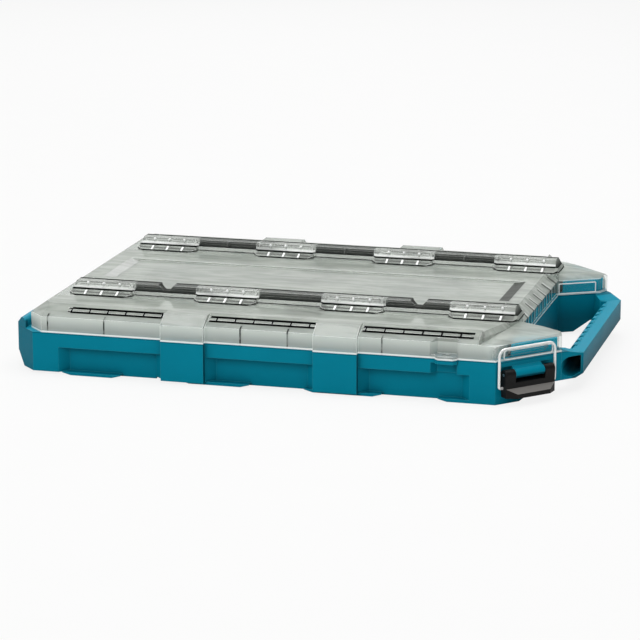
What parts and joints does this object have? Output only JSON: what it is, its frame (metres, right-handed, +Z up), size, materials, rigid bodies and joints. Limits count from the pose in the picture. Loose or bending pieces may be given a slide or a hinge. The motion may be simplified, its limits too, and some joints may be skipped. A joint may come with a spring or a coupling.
{
  "type": "saw blade storage case",
  "caption": "Flat moulded case for circular saw blades: clear hinged lid with stacking rails, over-centre wire latches at the cut corners, hollow carry handle, blade arbor with knob inside.",
  "frame": {"origin": "centre of the footprint, on the surface that the case stands on", "axes": "+X from the hinge end to the handle, +Y across to the rear side, +Z up"},
  "size_m": [0.56, 0.3874, 0.0785],
  "materials": {
    "teal": "moulded polypropylene, satin, teal",
    "clear": "clear moulded polycarbonate, slightly grey",
    "black": "moulded glass-filled nylon, black",
    "wire": "bright plated spring wire",
    "pin": "plain ground steel pin",
    "foam": "closed-cell foam, grey",
    "arbor": "moulded nylon, black",
    "steel": "zinc plated steel",
    "divider": "moulded polypropylene sheet, natural"
  },
  "bodies": {
    "base": {"base_tray": "teal", "carry_handle": "teal", "lever_pin_front": "pin", "lever_pin_rear": "pin", "hinge_pin_front": "pin", "hinge_pin_rear": "pin", "foam_liner": "foam", "blade_arbor": "arbor", "arbor_stud": "steel", "arbor_screws": "steel", "blade_divider_1": "divider", "blade_divider_2": "divider", "blade_divider_3": "divider", "blade_divider_4": "divider"},
    "lid": {"lid_shell": "clear"},
    "lever_front": {"latch_lever_front": "black"},
    "lever_rear": {"latch_lever_rear": "black"},
    "bail_front": {"wire_bail_front": "wire"},
    "bail_rear": {"wire_bail_rear": "wire"},
    "washer": {"clamp_washer": "steel"},
    "knob": {"clamp_knob": "black"}
  },
  "joints": [
    {"name": "lid_hinge", "type": "hinge", "parent": "base", "child": "lid", "pos_m": [-0.272, 0, 0.0469], "axis": [0, -1, 0], "range_deg": [0, 110]},
    {"name": "lever_front_pivot", "type": "hinge", "parent": "base", "child": "lever_front", "pos_m": [0.23641, -0.16689, 0.0299], "axis": [-0.682, -0.7314, 0], "range_deg": [0, 110]},
    {"name": "lever_rear_pivot", "type": "hinge", "parent": "base", "child": "lever_rear", "pos_m": [0.23641, 0.16689, 0.0299], "axis": [0.682, -0.7314, 0], "range_deg": [0, 110]},
    {"name": "bail_front_pivot", "type": "hinge", "parent": "lever_front", "child": "bail_front", "pos_m": [0.23531, -0.16586, 0.0169], "axis": [-0.682, -0.7314, 0], "range_deg": [-127, 0]},
    {"name": "bail_rear_pivot", "type": "hinge", "parent": "lever_rear", "child": "bail_rear", "pos_m": [0.23531, 0.16586, 0.0169], "axis": [0.682, -0.7314, 0], "range_deg": [-127, 0]},
    {"name": "washer_lift", "type": "slide", "parent": "base", "child": "washer", "axis": [0, 0, 1], "range_m": [0, 0.006]},
    {"name": "knob_turn", "type": "hinge", "parent": "washer", "child": "knob", "pos_m": [-0.028, 0, 0.0298], "axis": [0, 0, 1], "range_deg": [0, 720]}
  ],
  "couplings": [
    {"joint": "bail_front_pivot", "follows": "lever_front_pivot", "ratio": -1.15},
    {"joint": "bail_rear_pivot", "follows": "lever_rear_pivot", "ratio": -1.15},
    {"joint": "washer_lift", "follows": "knob_turn", "m_per_rad": 0.000477}
  ]
}
